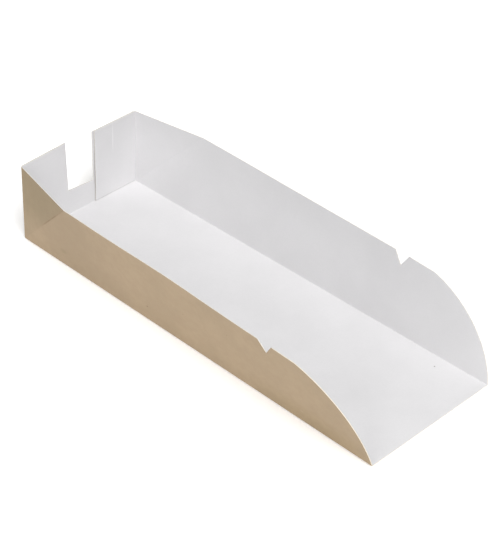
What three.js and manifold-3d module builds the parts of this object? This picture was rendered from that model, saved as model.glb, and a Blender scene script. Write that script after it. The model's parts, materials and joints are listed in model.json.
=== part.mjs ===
// Open-fronted takeaway tray, folded and glued from one die-cut sheet of
// paperboard: kraft brown outside, white inside.
//
// Millimetres, +Z up. The origin is on the underside, half way along and across
// the floor. +X is the open front, -X the end wall, -Y and +Y the side walls.
//
// The sheet is built as a mid surface that follows the folds, then given its
// thickness to both sides of that surface. The side walls, floor and glue tabs
// are one sheet; the end wall hangs on the floor's back fold and lies on the
// outside of the tabs, glued to them, so the whole tray is one solid.
import * as THREE from 'three';
import { mergeVertices } from 'three/addons/utils/BufferGeometryUtils.js';
import Module from 'manifold-3d';

// ---- driving dimensions -------------------------------------------------
const BOARD = 0.45;            // thickness of the paperboard
const FLOOR_W = 79.8;          // floor width at the end wall, between fold lines
const FLOOR_SPREAD = 1.15;     // each long fold runs out by this much at the front
const LEN_NEAR = 245.0;        // floor length along the -Y fold
const LEN_FAR = 246.7;         // floor length along the +Y fold
const WALL_H = 45.55;          // height of every wall, measured along the board
const FOLD_T = 0.35;           // tangent length of a fold
const FOLD_STEPS = 3;          // facets round a fold

// outward lean of each side wall from the vertical, at distances from the back
const LEAN_NEAR = [[0, 11.85], [50, 11.85], [76, 12.45], [119, 12.7], [150, 13.9], [177, 14.8], [250, 16.25]];
const LEAN_FAR = [[0, 9.95], [45.5, 9.95], [118, 6.75], [182, 4.05], [215, 2.6], [250, 1.4]];

// V notch in the top edge of each side wall
const NOTCH_S = [182.6, 186.9, 191.3];   // left lip, root, right lip
const NOTCH_D = 7.05;                    // depth below the top edge
// rounded front of each side wall: a short run of top edge, then one arc
const NOSE_RUN = 40.4;         // the arc starts this far behind the front corner
const NOSE_DROP = 0.35;        // the top edge has dropped by this much there
const NOSE_R = 52.7;           // radius of the arc
const NOSE_A = 52.37;          // its centre: behind the front corner
const NOSE_B = -5.83;          // and below the floor fold

// end wall: open slot in its top edge, and the glue tabs inside it
const SLOT = [[-8.75, 15.85], [9.15, 14.85], [8.75, 60], [-8.75, 60]]; // y, z
const TAB_TOP = 29.5;          // tab width along the top edge
const TAB_FOOT = 28.6;         // tab width at its foot
const TAB_RAISE = 0.42;        // foot of the tab above the floor fold
const LEAF_BACK = 1.5;         // the -Y leaf of the end wall is bent back this much
const EDGE_FOLD = 0.6;         // the end wall's sides stand in from the corners: at its fold,
const EDGE_FOOT = 0.1;         // just above it,
const EDGE_TOP = 0.75;         // and at the top edge
const FLARE = 1.4;             // height where the relief at the fold ends

const COLOR_BOARD = 0xb59c7c;  // kraft face

// ---- helpers ------------------------------------------------------------
const rad = (a) => (a * Math.PI) / 180;
const V = (x, y, z) => new THREE.Vector3(x, y, z);
const lerp = (a, b, k) => a + (b - a) * k;

// smooth curve through a table of [x, y] pairs
function curve(table, x) {
  const n = table.length;
  if (x <= table[0][0]) return table[0][1];
  if (x >= table[n - 1][0]) return table[n - 1][1];
  let i = 0;
  while (x > table[i + 1][0]) i += 1;
  const slope = (k) => {
    if (k <= 0 || k >= n - 1) {
      const a = k <= 0 ? 0 : n - 2;
      return (table[a + 1][1] - table[a][1]) / (table[a + 1][0] - table[a][0]);
    }
    return (table[k + 1][1] - table[k - 1][1]) / (table[k + 1][0] - table[k - 1][0]);
  };
  const w = table[i + 1][0] - table[i][0];
  const u = (x - table[i][0]) / w;
  const m0 = slope(i) * w;
  const m1 = slope(i + 1) * w;
  const p0 = table[i][1];
  const p1 = table[i + 1][1];
  return (2 * u ** 3 - 3 * u ** 2 + 1) * p0 + (u ** 3 - 2 * u ** 2 + u) * m0
    + (-2 * u ** 3 + 3 * u ** 2) * p1 + (u ** 3 - u ** 2) * m1;
}

// a fold: the circular arc from p to q that is tangent to both sides at corner c
function foldArc(p, c, q, k) {
  const half = p.clone().sub(c).angleTo(q.clone().sub(c)) / 2;
  const w = Math.sin(half);
  const b0 = (1 - k) ** 2;
  const b1 = 2 * k * (1 - k) * w;
  const b2 = k ** 2;
  return p.clone().multiplyScalar(b0).addScaledVector(c, b1).addScaledVector(q, b2)
    .divideScalar(b0 + b1 + b2);
}

// ---- the folded mid surface ---------------------------------------------
const Z0 = BOARD / 2;
const HALF = FLOOR_W / 2;
const MEAN_LEN = (LEN_NEAR + LEN_FAR) / 2;
const X_BACK = -MEAN_LEN / 2 - 0.05;                 // end wall, mid surface
const X_TAB = X_BACK + BOARD * 0.87;                 // tabs, bonded to its inner face

const leanOf = (side, s) => rad(curve(side < 0 ? LEAN_NEAR : LEAN_FAR, s));
// how far an end-wall corner tips forward when the wall beside it leans out
function tipOf(side) {
  const c = Math.cos(leanOf(side, 0));
  return Math.asin(1 / Math.hypot(1, c)) - Math.atan(c);
}
const lengthOf = (side) => (side < 0 ? LEN_NEAR : LEN_FAR);

// point of the end wall, y across, t up the board
function endPoint(y, t, x = X_BACK) {
  const k = (y + HALF) / FLOOR_W;
  const tip = lerp(tipOf(-1), tipOf(1), k);
  const above = (t - (WALL_H - (WALL_H - 16) * ((y + HALF) / 31))) / (WALL_H - 16);
  const leaf = y < -HALF + 31.5 ? LEAF_BACK * Math.max(0, above) : 0;
  return V(x + t * Math.sin(tip) - leaf, y, Z0 + t * Math.cos(tip));
}

// the long fold of the floor
function basePoint(side, s) {
  return V(X_TAB + s, side * (HALF + FLOOR_SPREAD * (s / lengthOf(side))), Z0);
}

// point of a side wall, s from the end wall, t up the board
function wallPoint(side, s, t) {
  if (t > s + 1e-9) {                                // corner facet behind the diagonal crease
    const A = endPoint(side * HALF, 0, X_TAB);
    const B = endPoint(side * HALF, WALL_H, X_TAB);
    const K = wallPoint(side, WALL_H, WALL_H);
    return A.clone()
      .addScaledVector(K.clone().sub(A), s / WALL_H)
      .addScaledVector(B.clone().sub(A), (t - s) / WALL_H);
  }
  const a = leanOf(side, s);
  const p = basePoint(side, s);
  return V(p.x, p.y + side * t * Math.sin(a), p.z + t * Math.cos(a));
}

// height of a side wall's outline
function outline(side, s) {
  const L = lengthOf(side);
  const run = L - NOSE_RUN;
  if (s <= NOTCH_S[0]) return WALL_H;
  if (s <= NOTCH_S[1]) return WALL_H - NOTCH_D * (s - NOTCH_S[0]) / (NOTCH_S[1] - NOTCH_S[0]);
  if (s <= NOTCH_S[2]) return WALL_H - NOTCH_D * (NOTCH_S[2] - s) / (NOTCH_S[2] - NOTCH_S[1]);
  const top = WALL_H - NOSE_DROP * (s - NOTCH_S[2]) / (run - NOTCH_S[2]);
  if (s <= run) return top;
  const dx = s - (L - NOSE_A);
  const arc = NOSE_B + Math.sqrt(Math.max(0, NOSE_R ** 2 - dx ** 2));
  return Math.max(FOLD_T + 0.25, Math.min(top, arc));
}

// ---- triangles ----------------------------------------------------------
class Sheet {
  constructor() { this.points = []; this.keys = new Map(); this.faces = []; }

  vertex(p) {
    const key = [p.x, p.y, p.z].map((v) => Math.round(v * 1e4)).join();
    if (!this.keys.has(key)) { this.keys.set(key, this.points.length); this.points.push(p.clone()); }
    return this.keys.get(key);
  }

  tri(a, b, c) {
    const t = [this.vertex(a), this.vertex(b), this.vertex(c)];
    if (t[0] !== t[1] && t[1] !== t[2] && t[2] !== t[0]) this.faces.push(t);
  }

  // rows of points; flip swaps the side that faces the inside of the tray
  grid(rows, flip) {
    for (let i = 0; i + 1 < rows.length; i += 1) {
      for (let j = 0; j + 1 < rows[i].length; j += 1) {
        const [a, b, c, d] = [rows[i][j], rows[i][j + 1], rows[i + 1][j + 1], rows[i + 1][j]];
        if (flip) { this.tri(a, c, b); this.tri(a, d, c); } else { this.tri(a, b, c); this.tri(a, c, d); }
      }
    }
  }

  // the solid board: both faces, offset so that folds keep their mitres, and the cut edges
  solid(half) {
    const n = this.points.length;
    const sum = Array.from({ length: n }, () => ({ m: [0, 0, 0, 0, 0, 0], r: [0, 0, 0] }));
    for (const f of this.faces) {
      const [a, b, c] = f.map((i) => this.points[i]);
      const nor = b.clone().sub(a).cross(c.clone().sub(a)).normalize();
      f.forEach((v, k) => {
        const p = this.points[v];
        const e0 = this.points[f[(k + 1) % 3]].clone().sub(p);
        const e1 = this.points[f[(k + 2) % 3]].clone().sub(p);
        const w = e0.angleTo(e1);
        const { m, r } = sum[v];
        m[0] += w * nor.x * nor.x; m[1] += w * nor.x * nor.y; m[2] += w * nor.x * nor.z;
        m[3] += w * nor.y * nor.y; m[4] += w * nor.y * nor.z; m[5] += w * nor.z * nor.z;
        r[0] += w * nor.x; r[1] += w * nor.y; r[2] += w * nor.z;
      });
    }
    const offset = sum.map(({ m, r }) => {
      const eps = 1e-3 * (m[0] + m[3] + m[5]);
      const M = new THREE.Matrix3().set(
        m[0] + eps, m[1], m[2], m[1], m[3] + eps, m[4], m[2], m[4], m[5] + eps);
      return V(...r).applyMatrix3(M.invert());
    });
    const pos = [];
    for (const sgn of [1, -1]) {
      this.points.forEach((p, i) => {
        const q = p.clone().addScaledVector(offset[i], sgn * half);
        pos.push(q.x, q.y, q.z);
      });
    }
    const index = [];
    const edges = new Map();
    for (const [a, b, c] of this.faces) {
      index.push(a, b, c, a + n, c + n, b + n);
      for (const [p, q] of [[a, b], [b, c], [c, a]]) edges.set(`${p},${q}`, [p, q]);
    }
    for (const [p, q] of edges.values()) {
      if (!edges.has(`${q},${p}`)) index.push(q, p, p + n, q, p + n, q + n);
    }
    const g = new THREE.BufferGeometry();
    g.setAttribute('position', new THREE.Float32BufferAttribute(pos, 3));
    g.setIndex(index);
    return g;
  }
}

const range = (n) => Array.from({ length: n + 1 }, (_, i) => i / n);

// floor stations from the end wall to the front, shared by the floor and both walls
const BACK_K = range(5);
const ROWS = range(5);
function stations(side) {
  const L = lengthOf(side);
  const run = L - NOSE_RUN;
  const s = [];
  for (let i = 1; i <= 9; i += 1) s.push(lerp(WALL_H, NOTCH_S[0], i / 9));
  s.push(NOTCH_S[1], NOTCH_S[2], lerp(NOTCH_S[2], run, 0.5), run);
  const a0 = Math.acos((NOSE_A - NOSE_RUN) / NOSE_R);
  const a1 = Math.acos(NOSE_A / NOSE_R);
  for (let i = 1; i <= 18; i += 1) {
    const a = Math.PI - (Math.PI - a0 + (a0 - a1) * (i / 18));
    s.push(Math.min(L, L - NOSE_A + NOSE_R * Math.cos(a)));
  }
  s[s.length - 1] = L;
  return s;
}

const sheet = new Sheet();
const floorEdge = {};
for (const side of [-1, 1]) {
  const flip = side > 0;
  const T = FOLD_T;
  const cols = stations(side);
  // panel between the diagonal crease and the front
  const diag = (k, j) => wallPoint(side, T + k * (WALL_H - T), T + k * (ROWS[j] * (WALL_H - T)));
  const main = [WALL_H, ...cols].map((s) => ROWS.map((u) => wallPoint(side, s, T + u * (outline(side, s) - T))));
  sheet.grid(main, flip);
  // its back triangle, below the crease
  sheet.grid(BACK_K.map((k) => ROWS.map((_, j) => diag(k, j))), flip);
  // corner facet behind the crease
  const facet = BACK_K.map((k) => ROWS.map((u) => wallPoint(side, T + k * (u * (WALL_H - T)), T + k * (WALL_H - T))));
  sheet.grid(facet, !flip);
  // long fold down to the floor
  const footS = [...BACK_K.map((k) => T + k * (WALL_H - T)), ...cols];
  const inner = footS.map((s) => {
    const c = basePoint(side, s);
    return V(c.x, c.y - side * T, c.z);
  });
  const fold = footS.map((s, i) => range(FOLD_STEPS).map((k) => foldArc(inner[i], basePoint(side, s), wallPoint(side, s, T), k)));
  sheet.grid(fold, flip);
  floorEdge[side] = inner;
  // back fold into the glue tab, and the tab
  const heights = BACK_K.map((k) => lerp(T, WALL_H, k));
  const tabPoint = (q, t) => {
    const w = lerp(TAB_FOOT, TAB_TOP, t / WALL_H);
    return endPoint(side * (HALF - lerp(T, w, q)), t, X_TAB);
  };
  const corner = (t) => endPoint(side * HALF, t, X_TAB);
  const turn = heights.map((t) => range(FOLD_STEPS).map((k) => foldArc(wallPoint(side, T, t), corner(t), tabPoint(0, t), k)));
  const tabHeights = heights.map((t) => Math.max(t, TAB_RAISE));
  turn[0] = range(FOLD_STEPS).map((k) => foldArc(wallPoint(side, T, T), corner(T), tabPoint(0, T), k));
  sheet.grid(turn, flip);
  const tab = tabHeights.map((t, i) => range(6).map((q) => tabPoint(q, q === 0 ? heights[i] : t)));
  sheet.grid(tab, flip);
}
// floor
sheet.grid(floorEdge[-1].map((p, i) => range(6).map((k) => p.clone().lerp(floorEdge[1][i], k))), true);

// end wall with its fold and a strip that is part of the floor
const end = new Sheet();
// its sides are relieved at the floor fold, then run up just inside the corners
const edgeAt = (t) => (t < FLARE ? lerp(EDGE_FOLD, EDGE_FOOT, (t - FOLD_T) / (FLARE - FOLD_T))
  : lerp(EDGE_FOOT, EDGE_TOP, (t - FLARE) / (WALL_H - FLARE)));
const across = range(24);
const yAt = (k, t) => lerp(-HALF + edgeAt(t), HALF - edgeAt(t), k);
const strip = across.map((k) => [V(X_BACK + 4, yAt(k, FOLD_T), Z0), V(X_BACK + FOLD_T, yAt(k, FOLD_T), Z0)]);
end.grid(strip, true);
end.grid(across.map((w, i) => range(FOLD_STEPS).map((k) => foldArc(
  strip[i][1], V(X_BACK, yAt(w, FOLD_T), Z0), endPoint(yAt(w, FOLD_T), FOLD_T), k))), true);
const up = [FOLD_T, FLARE, ...range(10).slice(1).map((k) => lerp(FOLD_T, WALL_H, k))];
end.grid(across.map((k) => up.map((t) => endPoint(yAt(k, t), t))), true);

// ---- join and cut -------------------------------------------------------
const wasm = await Module();
wasm.setup();

function toManifold(geometry) {
  const g = geometry.clone();
  for (const name of Object.keys(g.attributes)) if (name !== 'position') g.deleteAttribute(name);
  const m = mergeVertices(g, 1e-5);
  return new wasm.Manifold(new wasm.Mesh({
    numProp: 3,
    vertProperties: new Float32Array(m.attributes.position.array),
    triVerts: new Uint32Array(m.index.array),
  }));
}

function toGeometry(manifold) {
  const m = manifold.getMesh();
  const g = new THREE.BufferGeometry();
  g.setAttribute('position', new THREE.Float32BufferAttribute(m.vertProperties, 3));
  g.setIndex(Array.from(m.triVerts));
  g.computeVertexNormals();
  return g;
}

// slot cutter: the outline in y, z, pushed through the end wall only
const slotShape = new THREE.Shape(SLOT.map(([y, z]) => new THREE.Vector2(y, z)));
const slotCutter = new THREE.ExtrudeGeometry(slotShape, { depth: 12, bevelEnabled: false });
slotCutter.applyMatrix4(new THREE.Matrix4().set(
  0, 0, 1, X_BACK - 6,
  1, 0, 0, 0,
  0, 1, 0, 0,
  0, 0, 0, 1));

const body = toManifold(sheet.solid(BOARD / 2))
  .add(toManifold(end.solid(BOARD / 2)).subtract(toManifold(slotCutter)));

const material = new THREE.MeshStandardMaterial({ color: COLOR_BOARD, roughness: 0.85, metalness: 0 });
const tray = new THREE.Mesh(toGeometry(body), material);
tray.name = 'tray';

const group = new THREE.Group();
group.add(tray);
export default group;
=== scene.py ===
import json
import math

import bpy
import numpy as np
from mathutils import Matrix, Vector

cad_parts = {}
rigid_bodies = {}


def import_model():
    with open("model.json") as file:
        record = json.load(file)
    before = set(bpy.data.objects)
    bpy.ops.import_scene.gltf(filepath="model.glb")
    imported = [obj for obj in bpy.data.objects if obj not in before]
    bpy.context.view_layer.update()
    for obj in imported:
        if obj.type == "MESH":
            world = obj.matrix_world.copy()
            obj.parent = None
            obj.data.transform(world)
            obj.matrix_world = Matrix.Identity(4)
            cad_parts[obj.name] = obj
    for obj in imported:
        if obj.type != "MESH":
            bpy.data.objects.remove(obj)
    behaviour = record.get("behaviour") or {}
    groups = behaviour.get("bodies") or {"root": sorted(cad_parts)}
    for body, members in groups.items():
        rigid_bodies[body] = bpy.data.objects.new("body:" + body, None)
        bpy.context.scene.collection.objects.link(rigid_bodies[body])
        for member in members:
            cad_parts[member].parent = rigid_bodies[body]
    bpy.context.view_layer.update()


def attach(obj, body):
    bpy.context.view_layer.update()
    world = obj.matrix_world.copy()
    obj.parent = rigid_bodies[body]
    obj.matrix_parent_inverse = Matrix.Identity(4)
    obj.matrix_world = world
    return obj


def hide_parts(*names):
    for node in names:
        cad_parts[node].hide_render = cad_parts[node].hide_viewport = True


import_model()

# ---------------------------------------------------------------------------
# the sheet, in millimetres, in the frame's own axes: +X open front, -X end wall
# ---------------------------------------------------------------------------
BOARD = 0.45                   # board thickness
FLOOR_W = 79.8                 # floor width at the end wall
FLOOR_SPREAD = 1.15            # each long fold runs out by this much at the front
LEN = {-1: 245.0, 1: 246.7}    # floor length along each long fold
WALL_H = 45.55                 # wall height along the board
FOLD_T = 0.35                  # tangent length of a fold
LEAN = {
    -1: [(0, 11.85), (50, 11.85), (76, 12.45), (119, 12.7), (150, 13.9), (177, 14.8), (250, 16.25)],
    1: [(0, 9.95), (45.5, 9.95), (118, 6.75), (182, 4.05), (215, 2.6), (250, 1.4)],
}
NOTCH_S = (182.6, 186.9, 191.3)
NOTCH_D = 7.05
NOSE_RUN, NOSE_DROP = 40.4, 0.35
NOSE_R, NOSE_A, NOSE_B = 52.7, 52.37, -5.83
SLOT_L, SLOT_R0, SLOT_R1 = -8.75, 9.15, 8.75     # slot sides: left, right at its foot, right at its top
SLOT_B0, SLOT_B1 = 15.85, 14.85                  # slot bottom, left and right
TAB_TOP, TAB_FOOT, TAB_RAISE = 29.8, 29.9, 0.42
LEAF_BACK = 1.5
SCORE, SCORE_W = {-1: 0.085, 1: 0.0}, 0.42     # depth and half width of the diagonal score
EDGE_FOLD, EDGE_FOOT, EDGE_TOP, FLARE = 0.6, 0.1, 0.75, 1.4   # how far its sides stand in from the corners

Z0 = BOARD / 2
HALF = FLOOR_W / 2
X_BACK = -(LEN[-1] + LEN[1]) / 4 - 0.05
X_TAB = X_BACK + BOARD * 0.87


def curve(table, x):
    """Smooth curve through a table of points."""
    xs = np.array([p[0] for p in table], float)
    ys = np.array([p[1] for p in table], float)
    m = np.empty_like(ys)
    m[1:-1] = (ys[2:] - ys[:-2]) / (xs[2:] - xs[:-2])
    m[0] = (ys[1] - ys[0]) / (xs[1] - xs[0])
    m[-1] = (ys[-1] - ys[-2]) / (xs[-1] - xs[-2])
    x = np.clip(np.asarray(x, float), xs[0], xs[-1])
    i = np.clip(np.searchsorted(xs, x, side="right") - 1, 0, len(xs) - 2)
    w = xs[i + 1] - xs[i]
    u = (x - xs[i]) / w
    return ((2 * u**3 - 3 * u**2 + 1) * ys[i] + (u**3 - 2 * u**2 + u) * m[i] * w
            + (-2 * u**3 + 3 * u**2) * ys[i + 1] + (u**3 - u**2) * m[i + 1] * w)


def lean(side, s):
    return np.radians(curve(LEAN[side], s))


def tip(side):
    c = math.cos(float(lean(side, 0)))
    return math.asin(1 / math.hypot(1, c)) - math.atan(c)


def stack(*v):
    return np.stack(np.broadcast_arrays(*[np.asarray(a, float) for a in v]), -1)


def end_point(y, t, x0=X_BACK, leaf=False):
    """A point of the end wall, y across and t up the board. The leaf beside -Y is bent back."""
    y, t = np.asarray(y, float), np.asarray(t, float)
    a = tip(-1) + (tip(1) - tip(-1)) * (y + HALF) / FLOOR_W
    back = 0.0
    if leaf:
        above = (t - (WALL_H - (WALL_H - 16) * (y + HALF) / 31)) / (WALL_H - 16)
        back = LEAF_BACK * np.maximum(0, 0.5 * (above + np.sqrt(above**2 + 0.004)) - 0.012)
    return stack(x0 + t * np.sin(a) - back, y, Z0 + t * np.cos(a))


def base_point(side, s):
    s = np.asarray(s, float)
    return stack(X_TAB + s, side * (HALF + FLOOR_SPREAD * s / LEN[side]), Z0 + 0 * s)


def panel_point(side, s, t):
    s, t = np.asarray(s, float), np.asarray(t, float)
    a = lean(side, s)
    return base_point(side, s) + stack(0 * s * t, side * t * np.sin(a), t * np.cos(a))


def facet_point(side, s, t):
    """The corner facet behind the diagonal crease, ruled from the corner to the wall's own crease."""
    s, t = np.broadcast_arrays(np.asarray(s, float), np.asarray(t, float))
    C = end_point(side * HALF, t, X_TAB)
    K = panel_point(side, t, t)
    k = (s / np.maximum(t, 1e-6))[..., None]
    return np.where((t > s + 1e-9)[..., None], C + k * (K - C), panel_point(side, s, t))


def score(side, s, t):
    """How far the scored crease sinks in beside the diagonal: a shallow groove outside, a bead inside."""
    s, t = np.asarray(s, float), np.asarray(t, float)
    a = lean(side, 20.0)
    d = (s - t) / math.sqrt(2)
    ends = np.clip((s - 1.2) / 2.5, 0, 1) * np.clip((WALL_H + 0.5 - s) / 1.5, 0.35, 1)
    depth = SCORE[side] * np.exp(-(d / SCORE_W)**2) * ends
    return depth[..., None] * np.array([0, -side * math.cos(a), math.sin(a)])


def wall_point(side, s, t):
    return facet_point(side, s, t) + score(side, s, t)


def outline(side, s):
    s = np.asarray(s, float)
    L = LEN[side]
    run = L - NOSE_RUN
    top = WALL_H - NOSE_DROP * np.clip((s - NOTCH_S[2]) / (run - NOTCH_S[2]), 0, None)
    notch = NOTCH_D * np.clip(np.minimum((s - NOTCH_S[0]) / (NOTCH_S[1] - NOTCH_S[0]),
                                         (NOTCH_S[2] - s) / (NOTCH_S[2] - NOTCH_S[1])), 0, 1)
    arc = NOSE_B + np.sqrt(np.maximum(0, NOSE_R**2 - (s - (L - NOSE_A))**2))
    out = np.where(s <= NOTCH_S[2], WALL_H - notch, top)
    return np.where(s > run, np.maximum(FOLD_T + 0.25, np.minimum(top, arc)), out)


def fold_arc(p, c, q, n=7):
    """n points round a fold from p to q, tangent to both sides at corner c."""
    a, b = p - c, q - c
    cosang = (a * b).sum(-1) / (np.linalg.norm(a, axis=-1) * np.linalg.norm(b, axis=-1))
    w = np.sin(np.arccos(np.clip(cosang, -1, 1)) / 2)[..., None]
    out = []
    for k in np.linspace(0, 1, n):
        b0, b1, b2 = (1 - k)**2, 2 * k * (1 - k) * w, k**2
        out.append((b0 * p + b1 * c + b2 * q) / (b0 + b1 + b2))
    return np.stack(out, -2)


class Sheet:
    """A mid surface of welded quads that becomes board with two faces and cut edges."""

    def __init__(self):
        self.pts, self.keys, self.faces = [], {}, []

    def ids(self, P):
        shape = P.shape[:-1]
        flat = P.reshape(-1, 3)
        keys = np.floor(flat * 1e4 + 0.317).astype(np.int64)
        out = np.empty(len(flat), int)
        for i, k in enumerate(map(tuple, keys)):
            j = self.keys.get(k)
            if j is None:
                j = self.keys[k] = len(self.pts)
                self.pts.append(flat[i])
            out[i] = j
        return out.reshape(shape)

    def grid(self, P, flip, keep=None):
        I = self.ids(P)
        for i in range(I.shape[0] - 1):
            for j in range(I.shape[1] - 1):
                if keep is not None and not keep(i, j):
                    continue
                q = [I[i, j], I[i, j + 1], I[i + 1, j + 1], I[i + 1, j]]
                if flip:
                    q = q[::-1]
                q = [v for k, v in enumerate(q) if v != q[k - 1]]
                if len(q) >= 3:
                    self.faces.append(q)

    def board(self, half, bevel=0.055):
        used = sorted({v for f in self.faces for v in f})
        new = {v: i for i, v in enumerate(used)}
        P = np.array(self.pts)[used]
        self.faces = [[new[v] for v in f] for f in self.faces]
        n = len(P)
        M = np.zeros((n, 3, 3))
        R = np.zeros((n, 3))
        for f in self.faces:
            p = P[f]
            m = len(f)
            nor = np.cross(p[2] - p[0], p[m - 1] - p[1]) if m == 4 else np.cross(p[1] - p[0], p[2] - p[0])
            nor = nor / np.linalg.norm(nor)
            for k in range(m):
                e0, e1 = p[(k + 1) % m] - p[k], p[k - 1] - p[k]
                c = e0 @ e1 / (np.linalg.norm(e0) * np.linalg.norm(e1))
                w = math.acos(max(-1, min(1, c)))
                M[f[k]] += w * np.outer(nor, nor)
                R[f[k]] += w * nor
        M += 1e-3 * np.trace(M, axis1=1, axis2=2)[:, None, None] * np.eye(3)
        off = np.linalg.solve(M, R[..., None])[..., 0]
        # open edges, and the way outward from the sheet along each
        seen = {}
        for fi, f in enumerate(self.faces):
            for k in range(len(f)):
                seen[(f[k], f[(k + 1) % len(f)])] = fi
        rim = [e for e in seen if (e[1], e[0]) not in seen]
        outw = np.zeros((n, 3))
        nrm = off / np.linalg.norm(off, axis=1)[:, None]
        for a, b in rim:
            d = P[b] - P[a]
            for v in (a, b):
                o = np.cross(d, nrm[v])
                outw[v] += o / max(1e-9, np.linalg.norm(o))
        ln = np.linalg.norm(outw, axis=1)
        onrim = ln > 1e-6
        outw[onrim] /= ln[onrim][:, None]
        # both faces, drawn back from the cut by the bevel
        up = P + off * half - outw * bevel * onrim[:, None]
        dn = P - off * half - outw * bevel * onrim[:, None]
        V = [*up, *dn]
        F, mat = [], []
        for f in self.faces:
            F.append(list(f)); mat.append(0)
            F.append([v + n for v in f[::-1]]); mat.append(1)
        mid = {}
        for a, b in rim:
            for v in (a, b):
                if v not in mid:
                    mid[v] = len(V)
                    V.append(P[v] + off[v] * (half - bevel))
                    V.append(P[v] - off[v] * (half - bevel))
        for a, b in rim:
            ma, mb = mid[a], mid[b]
            F.append([b, a, ma, mb]); mat.append(2)
            F.append([mb, ma, ma + 1, mb + 1]); mat.append(2)
            F.append([mb + 1, ma + 1, a + n, b + n]); mat.append(2)
        return np.array(V), F, mat


def build_sheet():
    T, H = FOLD_T, WALL_H
    sh = Sheet()
    back_k = np.linspace(0, 1, 30)
    rows = np.concatenate([(1 - (1 - np.linspace(0, 1, 27))**1.5)[:-2],
                           1 - np.array([0.0165, 0.0125, 0.0095, 0.007, 0.005, 0.0032, 0.0015, 0])])

    def stations(side):
        L = LEN[side]
        run = L - NOSE_RUN
        a0, a1 = math.acos((NOSE_A - NOSE_RUN) / NOSE_R), math.acos(NOSE_A / NOSE_R)
        arc = L - NOSE_A + NOSE_R * np.cos(np.linspace(a0, a1, 61)[1:])
        arc[-1] = L
        return np.concatenate([
            np.linspace(H, NOTCH_S[0], 87)[1:],
            np.linspace(NOTCH_S[0], NOTCH_S[1], 6)[1:],
            np.linspace(NOTCH_S[1], NOTCH_S[2], 6)[1:],
            np.linspace(NOTCH_S[2], run, 9)[1:],
            np.minimum(arc, L)])

    inner = {}
    for side in (-1, 1):
        flip = side > 0
        cols = np.concatenate([[H], stations(side)])
        o = outline(side, cols)
        o[0] = H
        t = T + rows[None, :] * (o[:, None] - T)
        sh.grid(wall_point(side, np.broadcast_to(cols[:, None], t.shape), t), flip)
        k = back_k[:, None]
        sd, td = T + k * (H - T) + 0 * rows[None, :], T + k * rows[None, :] * (H - T)
        sh.grid(wall_point(side, sd, td), flip)
        sh.grid(wall_point(side, td, sd), not flip)
        foot = np.concatenate([T + back_k * (H - T), cols[1:]])
        c = base_point(side, foot)
        p = c - np.array([0, side * T, 0])
        q = wall_point(side, foot, np.full_like(foot, T))
        sh.grid(fold_arc(p, c, q), flip)
        inner[side] = p
        # corner fold and glue tab
        h = T + back_k * (H - T)
        p = wall_point(side, np.full_like(h, T), h)
        c = end_point(side * HALF, h, X_TAB)

        def tab(q, tt):
            w = TAB_FOOT + (TAB_TOP - TAB_FOOT) * tt / H
            wq = T + q * (w - T)
            lift = (0.42 if side > 0 else 0.10) * q**3 * (0.30 + 0.70 * np.clip((38 - tt) / 24, 0, 1) * np.clip((tt + 1) / 16, 0, 1))
            pt = end_point(side * (HALF - wq), tt, X_TAB, leaf=side < 0)
            pt[..., 0] += lift + (BOARD * 0.13 + 0.03) * np.clip(q * 8, 0, 1)
            return pt

        q0 = tab(np.zeros_like(h), h)
        sh.grid(fold_arc(p, c, q0), flip)
        qs = np.linspace(0, 1, 22)
        hh = np.broadcast_to(h[:, None], (len(h), len(qs))).copy()
        hh[0, 1:] = TAB_RAISE
        sh.grid(tab(np.broadcast_to(qs[None, :], hh.shape), hh), flip)

    # stations across: the end wall's, with the slot's sides among them, and the two floor edges
    def edge(t):
        return np.where(t < FLARE, EDGE_FOLD + (EDGE_FOOT - EDGE_FOLD) * (t - T) / (FLARE - T),
                        EDGE_FOOT + (EDGE_TOP - EDGE_FOOT) * (t - FLARE) / (H - FLARE))

    n_l, n_m = 21, 13
    r0 = n_l + n_m - 2

    def across(t):
        """All stations at height t, rows last."""
        t = np.atleast_1d(np.asarray(t, float))
        e = edge(t)[None, :]
        k = np.linspace(0, 1, n_l)[:, None]
        side_r = SLOT_R0 + (SLOT_R1 - SLOT_R0) * np.clip((t - SLOT_B1) / (H - SLOT_B1), 0, 1)[None, :]
        left = (-HALF + e) + k * (SLOT_L + HALF - e)
        mid = SLOT_L + np.linspace(0, 1, n_m)[1:, None] * (side_r - SLOT_L)
        right = side_r + k[1:] * (HALF - e - side_r)
        return np.concatenate([left, mid, right])

    y0 = across(T)[:, 0]
    kk = (np.concatenate([[-HALF + T], y0, [HALF - T]]) + HALF - T) / (2 * (HALF - T))
    floor = inner[-1][:, None, :] * (1 - kk)[None, :, None] + inner[1][:, None, :] * kk[None, :, None]
    sh.grid(floor, True)

    # end wall: back fold, then up in two bands that part at the slot's foot
    start = floor[0, 1:-1]
    tang = start.copy()
    tang[:, 0] = X_BACK + T
    foot_b = np.interp(y0, [SLOT_L, SLOT_R0], [SLOT_B0, SLOT_B1]) - Z0
    low = np.array([0, 0.02, 0.045, 0.075, 0.12, 0.2, 0.3, 0.42, 0.55, 0.7, 0.85, 1.0])
    isleaf = np.arange(len(y0)) < n_l

    def wall_rows(t):
        y = np.stack([across(t[i])[i] for i in range(len(y0))])
        return np.where(isleaf[:, None, None], end_point(y, t, leaf=True), end_point(y, t))

    lower = wall_rows(T + low[None, :] * (foot_b[:, None] - T))
    arc = fold_arc(tang, end_point(y0, 0 * y0), lower[:, 0])
    sh.grid(np.concatenate([start[:, None], arc], 1), True)
    sh.grid(lower, True)
    upper = wall_rows(foot_b[:, None] + np.linspace(0, 1, 20)[None, :] * (H - foot_b[:, None]))
    sh.grid(upper, True, keep=lambda i, j: i < n_l - 1 or i >= r0)
    return sh


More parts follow.
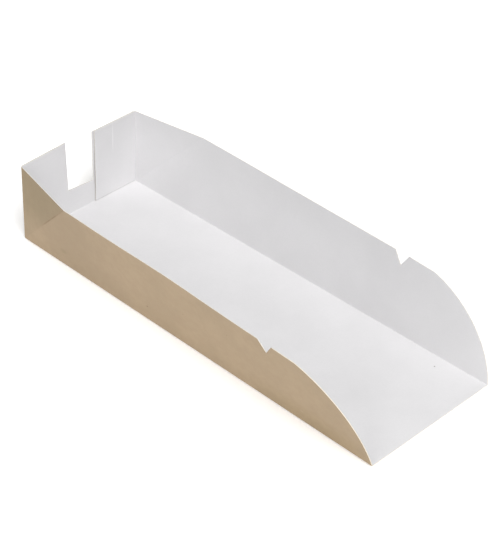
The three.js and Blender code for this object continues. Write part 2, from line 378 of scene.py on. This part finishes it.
def make_object(name, V, F, mat, materials):
    me = bpy.data.meshes.new(name)
    me.from_pydata((V / 1000).tolist(), [], F)
    me.polygons.foreach_set("material_index", np.array(mat, dtype=np.int32))
    for m in materials:
        me.materials.append(m)
    me.polygons.foreach_set("use_smooth", np.ones(len(F), dtype=bool))
    me.update()
    faces_of = {}
    for f, m in zip(F, mat):
        for k in range(len(f)):
            a, b = f[k], f[(k + 1) % len(f)]
            faces_of.setdefault((min(a, b), max(a, b)), set()).add(m)
    ev = np.empty(len(me.edges) * 2, dtype=np.int32)
    me.edges.foreach_get("vertices", ev)
    ev = ev.reshape(-1, 2)
    sharp = np.array([len(faces_of.get((min(a, b), max(a, b)), ())) > 1 for a, b in ev.tolist()])
    attr = me.attributes.new("sharp_edge", "BOOLEAN", "EDGE")
    attr.data.foreach_set("value", sharp)
    ob = bpy.data.objects.new(name, me)
    bpy.context.scene.collection.objects.link(ob)
    return ob


# ---------------------------------------------------------------------------
# materials
# ---------------------------------------------------------------------------
class Nodes:
    def __init__(self, name):
        self.mat = bpy.data.materials.new(name)
        self.mat.use_nodes = True
        self.nt = self.mat.node_tree
        self.nt.nodes.clear()
        self.out = self.nt.nodes.new("ShaderNodeOutputMaterial")
        self.bsdf = self.nt.nodes.new("ShaderNodeBsdfPrincipled")
        self.nt.links.new(self.bsdf.outputs[0], self.out.inputs[0])
        tc = self.nt.nodes.new("ShaderNodeTexCoord")
        self.obj = tc.outputs["Object"]

    def node(self, kind, **kw):
        n = self.nt.nodes.new(kind)
        for k, v in kw.items():
            setattr(n, k, v)
        return n

    def link(self, a, b):
        self.nt.links.new(a, b)

    def scaled(self, sx, sy, sz):
        m = self.node("ShaderNodeMapping")
        m.inputs["Scale"].default_value = (sx, sy, sz)
        self.link(self.obj, m.inputs["Vector"])
        return m.outputs[0]

    def noise(self, scale, detail=3.0, rough=0.55, vec=None, distortion=0.0):
        n = self.node("ShaderNodeTexNoise")
        n.inputs["Scale"].default_value = scale
        n.inputs["Detail"].default_value = detail
        n.inputs["Roughness"].default_value = rough
        n.inputs["Distortion"].default_value = distortion
        self.link(vec if vec is not None else self.obj, n.inputs["Vector"])
        return n.outputs["Fac"]

    def remap(self, fac, lo, hi, a=0.0, b=1.0, smooth=True):
        n = self.node("ShaderNodeMapRange")
        n.interpolation_type = "SMOOTHSTEP" if smooth else "LINEAR"
        n.inputs["From Min"].default_value = lo
        n.inputs["From Max"].default_value = hi
        n.inputs["To Min"].default_value = a
        n.inputs["To Max"].default_value = b
        self.link(fac, n.inputs["Value"])
        return n.outputs["Result"]

    def mix(self, fac, a, b, kind="MIX"):
        n = self.node("ShaderNodeMix", data_type="RGBA", blend_type=kind)
        for sock, v in ((n.inputs[0], fac), (n.inputs[6], a), (n.inputs[7], b)):
            if isinstance(v, (tuple, list)):
                sock.default_value = (*v[:3], 1.0)
            elif isinstance(v, (int, float)):
                sock.default_value = v
            else:
                self.link(v, sock)
        return n.outputs[2]

    def math(self, op, a, b=None):
        n = self.node("ShaderNodeMath", operation=op)
        for sock, v in ((n.inputs[0], a), (n.inputs[1], b)):
            if v is None:
                continue
            if isinstance(v, (int, float)):
                sock.default_value = v
            else:
                self.link(v, sock)
        return n.outputs[0]

    def spot(self, centre_mm, radius_mm, soft_mm, squash=(1, 1, 1)):
        """1 inside a small blot round a point of the object, 0 outside."""
        m = self.node("ShaderNodeMapping")
        m.vector_type = "POINT"
        c = [v / 1000 for v in centre_mm]
        m.inputs["Scale"].default_value = squash
        m.inputs["Location"].default_value = [-c[i] * squash[i] for i in range(3)]
        self.link(self.obj, m.inputs["Vector"])
        ln = self.node("ShaderNodeVectorMath", operation="LENGTH")
        self.link(m.outputs[0], ln.inputs[0])
        return self.remap(ln.outputs["Value"], (radius_mm - soft_mm) / 1000, (radius_mm + soft_mm) / 1000, 1.0, 0.0)

    def plane(self, point_mm, normal):
        """Distance in metres from a plane of the object, along its normal."""
        n = self.node("ShaderNodeVectorMath", operation="SUBTRACT")
        self.link(self.obj, n.inputs[0])
        n.inputs[1].default_value = [v / 1000 for v in point_mm]
        d = self.node("ShaderNodeVectorMath", operation="DOT_PRODUCT")
        self.link(n.outputs[0], d.inputs[0])
        d.inputs[1].default_value = Vector(normal).normalized()
        return d.outputs["Value"]

    def bump(self, height, strength, distance_mm, normal=None):
        n = self.node("ShaderNodeBump")
        n.inputs["Strength"].default_value = strength
        n.inputs["Distance"].default_value = distance_mm / 1000
        self.link(height, n.inputs["Height"])
        if normal is not None:
            self.link(normal, n.inputs["Normal"])
        return n.outputs[0]


def srgb(r, g, b):
    return tuple(((v / 255) / 12.92 if v / 255 <= 0.04045 else ((v / 255 + 0.055) / 1.055)**2.4) for v in (r, g, b))


def white_board():
    N = Nodes("inside_white")
    cloud = N.noise(28.0, 3.0, 0.6)
    fine = N.noise(900.0, 4.0, 0.7)
    base = N.mix(N.remap(cloud, 0.3, 0.7), srgb(222, 221, 222), srgb(226, 225, 226))
    base = N.mix(N.remap(fine, 0.35, 0.75, 0.0, 0.12), base, srgb(205, 205, 206))
    # the far corner's glued layer is painted a little greyer towards its top: painted shade that deepens upward
    depth = N.plane((-121.6, 10.0, 0), (-1, 0, 0))
    layer = N.math("MULTIPLY", N.remap(depth, -0.0004, 0.0002), N.remap(N.plane((0, 8.0, 0), (0, 1, 0)), 0.0, 0.004))
    layer = N.math("MULTIPLY", layer, N.remap(N.plane((0, 0, 0), (0, 0, 1)), 0.008, 0.046, 0.0, 1.0, smooth=False))
    base = N.mix(layer, base, (0.935, 0.935, 0.935), kind="MULTIPLY")
    # the leaf beside -Y is painted a touch lighter: painted light on the same white board
    leaf = N.math("MULTIPLY", N.remap(depth, -0.0004, 0.0002), N.remap(N.plane((0, -3.0, 0), (0, -1, 0)), 0.0, 0.020))
    base = N.mix(N.math("MULTIPLY", leaf, 0.30), base, srgb(233, 232, 233))
    # the upright corner folds hold a little shade
    inset = N.remap(N.plane((X_TAB, 0, Z0), (1, 0, -0.0151)), 0.00035, 0.0007, 1.0, 0.0)
    corner = N.math("MULTIPLY", inset, N.remap(N.math("ABSOLUTE", N.plane((0, 0, 0), (0, 1, 0))), HALF / 1000 - 0.0007, HALF / 1000 - 0.00035))
    base = N.mix(corner, base, (0.955, 0.955, 0.955), kind="MULTIPLY")
    # a speck on the floor, and a faint pale streak where the far tab was rubbed
    base = N.mix(N.math("MULTIPLY", N.spot((97.75, 33.47, 0.45), 0.36, 0.16), 0.8), base, srgb(112, 104, 96))
    base = N.mix(N.math("MULTIPLY", N.spot((X_TAB, 23.1, 36.5), 0.42, 0.25, (0.1, 1, 0.055)), 0.5), base, srgb(240, 239, 240))
    N.link(base, N.bsdf.inputs["Base Color"])
    N.link(N.remap(N.noise(60.0, 2.0), 0.3, 0.7, 0.52, 0.62), N.bsdf.inputs["Roughness"])
    N.bsdf.inputs["Specular IOR Level"].default_value = 0.35
    h = N.math("ADD", N.math("MULTIPLY", fine, 0.5), N.math("MULTIPLY", N.noise(3000.0, 3.0, 0.6), 0.5))
    N.link(N.bump(h, 0.12, 0.03), N.bsdf.inputs["Normal"])
    return N.mat


def kraft_board():
    N = Nodes("outside_kraft")
    cloud = N.noise(35.0, 4.0, 0.62)
    mottle = N.noise(260.0, 4.0, 0.65)
    fibres = N.noise(1.0, 5.0, 0.7, vec=N.scaled(420, 1700, 1700), distortion=1.2)
    cross = N.noise(1.0, 4.0, 0.7, vec=N.scaled(1500, 600, 380), distortion=1.5)
    base = N.mix(N.remap(cloud, 0.32, 0.68), srgb(168, 149, 124), srgb(175, 155, 129))
    base = N.mix(N.remap(mottle, 0.35, 0.7, 0.0, 0.35), base, srgb(164, 143, 119))
    base = N.mix(N.remap(fibres, 0.58, 0.8, 0.0, 0.5), base, srgb(153, 131, 105))
    base = N.mix(N.remap(cross, 0.6, 0.82, 0.0, 0.45), base, srgb(197, 179, 154))
    # the corner facets behind the diagonal creases are painted darker, most at the top: painted shade where the
    # facets turn away from the light
    past = N.plane((X_TAB, 0, Z0), (-1, 0, 1.02))
    height = N.plane((0, 0, 0), (0, 0, 1))
    crisp = N.math("MULTIPLY", N.remap(past, -0.0004, 0.0008), N.remap(height, 0.012, 0.030, 0.12, 0.62))
    soft = N.math("MULTIPLY", N.remap(past, -0.004, 0.012, 0.0, 0.42), N.remap(height, 0.0, 0.03, 0.75, 1.0))
    base = N.mix(N.math("ADD", crisp, soft), base, (0.845, 0.865, 0.83), kind="MULTIPLY")
    # the crease itself carries a painted shade line along its upper half
    crease_shade_line = N.math("MULTIPLY", N.remap(past, -0.00055, -0.00005), N.remap(past, 0.00005, 0.00055, 1.0, 0.0))
    along = N.math("MULTIPLY", N.remap(height, 0.0200, 0.0255, 0.08, 1.0), N.remap(height, 0.032, 0.042, 1.0, 0.40))
    crease_shade_line = N.math("MULTIPLY", crease_shade_line, N.math("MULTIPLY", along, N.remap(N.noise(600.0, 2.0), 0.3, 0.6, 0.6, 1.0)))
    base = N.mix(N.math("MULTIPLY", crease_shade_line, 0.78), base, (0.66, 0.60, 0.52), kind="MULTIPLY")
    # soft darker patches low on the wall; handling marks: a smudge and two light scratches
    base = N.mix(N.math("MULTIPLY", N.spot((88.0, -41.5, 2.0), 19.0, 17.0, (0.62, 1, 2.3)), 0.70), base, (0.86, 0.85, 0.77), kind="MULTIPLY")
    base = N.mix(N.math("MULTIPLY", N.spot((-70.0, -42.0, 26.0), 34.0, 26.0), 0.7), base, (0.93, 0.93, 0.94), kind="MULTIPLY")
    smudge = N.math("MULTIPLY", N.spot((-87.4, -42.3, 10.9), 1.3, 1.0, (0.62, 1, 1)), N.remap(N.noise(900.0, 2.0), 0.3, 0.6, 0.5, 1.0))
    base = N.mix(N.math("MULTIPLY", smudge, 0.8), base, (0.84, 0.87, 0.82), kind="MULTIPLY")
    # the folds along the floor are painted a little lighter: painted light lifting the shade along the bottom edge
    fold_painted_light = N.math("MULTIPLY", N.remap(height, 0.0004, 0.0022, 1.0, 0.0), N.remap(N.noise(70.0, 3.0, 0.6), 0.35, 0.65, 0.35, 1.0))
    base = N.mix(N.math("MULTIPLY", fold_painted_light, 0.22), base, srgb(196, 178, 154))
    specks = N.math("MAXIMUM", N.spot((-23.7, -42.7, 10.7), 0.46, 0.2), N.math("MAXIMUM", N.spot((36.8, -48.4, 30.4), 0.22, 0.15), N.spot((4.8, -45.9, 23.4), 0.22, 0.15)))
    base = N.mix(N.math("MULTIPLY", specks, 0.75), base, srgb(104, 84, 62))
    for at, squash in (((80.7, -42.9, 8.0), (0.35, 1, 1)), ((67.0, -44.3, 14.3), (0.14, 1, 1.2))):
        base = N.mix(N.math("MULTIPLY", N.spot(at, 0.34, 0.22, squash), 0.55), base, srgb(206, 189, 165))
    N.link(base, N.bsdf.inputs["Base Color"])
    N.bsdf.inputs["Roughness"].default_value = 0.86
    N.bsdf.inputs["Specular IOR Level"].default_value = 0.25
    h = N.math("ADD", fibres, N.math("ADD", cross, N.math("MULTIPLY", mottle, 0.6)))
    N.link(N.bump(h, 0.25, 0.05), N.bsdf.inputs["Normal"])
    return N.mat


def cut_edge():
    N = Nodes("cut_edge")
    layer = N.noise(1.0, 3.0, 0.6, vec=N.scaled(900, 900, 900))
    base = N.mix(N.remap(layer, 0.35, 0.7), srgb(227, 224, 217), srgb(216, 212, 205))
    # the cut is cleaner and paler round the -Y wall's front
    front = N.math("MULTIPLY", N.remap(N.plane((0, 0, 0), (1, 0, 0)), 0.060, 0.082), N.remap(N.plane((0, 0, 0), (0, -1, 0)), 0.032, 0.038))
    base = N.mix(front, base, srgb(230, 222, 207))
    N.link(base, N.bsdf.inputs["Base Color"])
    N.bsdf.inputs["Roughness"].default_value = 0.9
    N.bsdf.inputs["Specular IOR Level"].default_value = 0.2
    N.link(N.bump(layer, 0.4, 0.05), N.bsdf.inputs["Normal"])
    return N.mat


V, F, mat = build_sheet().board(BOARD / 2)
tray = make_object("tray_sheet", V, F, mat, [white_board(), kraft_board(), cut_edge()])
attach(tray, "root")
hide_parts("tray")

# ---------------------------------------------------------------------------
# floor, light and camera
# ---------------------------------------------------------------------------
scene = bpy.context.scene
scene.view_settings.view_transform = "Standard"
scene.view_settings.look = "None"
scene.view_settings.exposure = 0.0
scene.view_settings.gamma = 1.0


def stage_floor():
    me = bpy.data.meshes.new("floor")
    s = 6.0
    me.from_pydata([(-s, -s, 0), (s, -s, 0), (s, s, 0), (-s, s, 0)], [], [(0, 1, 2, 3)])
    N = Nodes("pale_floor")
    N.link(N.mix(N.remap(N.noise(3.0, 2.0), 0.3, 0.7), srgb(250, 250, 250), srgb(252, 252, 252)), N.bsdf.inputs["Base Color"])
    N.bsdf.inputs["Roughness"].default_value = 0.95
    N.bsdf.inputs["Specular IOR Level"].default_value = 0.0
    N.bsdf.inputs["Emission Color"].default_value = (1.0, 1.0, 1.0, 1.0)
    N.bsdf.inputs["Emission Strength"].default_value = 0.25     # a lit table
    me.materials.append(N.mat)
    ob = bpy.data.objects.new("floor", me)
    scene.collection.objects.link(ob)
    ob.location.z = -0.0003
    return ob


stage_floor()

world = bpy.data.worlds.new("studio")
scene.world = world
world.use_nodes = True
bg = world.node_tree.nodes["Background"]
bg.inputs["Color"].default_value = (1.0, 1.0, 1.0, 1.0)
bg.inputs["Strength"].default_value = 0.32


def soft_light(name, azimuth, elevation, strength, spread):
    """A large soft source far away; azimuth from +X towards +Y."""
    d = bpy.data.lights.new(name, "SUN")
    d.energy = strength
    d.angle = math.radians(spread)
    ob = bpy.data.objects.new(name, d)
    a, e = math.radians(azimuth), math.radians(elevation)
    v = Vector((math.cos(a) * math.cos(e), math.sin(a) * math.cos(e), math.sin(e)))
    ob.rotation_mode = "QUATERNION"
    ob.rotation_quaternion = (-v).to_track_quat("-Z", "Y")
    scene.collection.objects.link(ob)
    return ob


soft_light("key", 345, 60, 1.42, 30)
soft_light("front", 330, 42, 0.83, 30)
soft_light("side", 285, 25, 0.68, 30)
soft_light("back", 160, 50, 0.32, 60)

# camera: the photograph's viewing angle
RIGHT = (0.70939571, 0.70462672, 0.01609093)
UP = (-0.42629409, 0.4107748, 0.80593884)
BACK = (0.56127629, -0.57858902, 0.59178008)
CAM_AT = (0.58007595 - 0.1230, -0.44169583 - 0.0400, 0.51495737)
F_PX, PP = 1662.383, (228.174, 263.320)
cam_data = bpy.data.cameras.new("camera")
cam = bpy.data.objects.new("camera", cam_data)
scene.collection.objects.link(cam)
m = Matrix.Identity(4)
for i in range(3):
    m[i][0], m[i][1], m[i][2], m[i][3] = RIGHT[i], UP[i], BACK[i], CAM_AT[i]
cam.matrix_world = m
cam_data.sensor_width = 36.0
cam_data.lens = F_PX / 549 * 36.0
cam_data.shift_x = (250.0 - PP[0]) / 549
cam_data.shift_y = (PP[1] - 274.5) / 549
cam_data.clip_start, cam_data.clip_end = 0.01, 50.0
scene.camera = cam
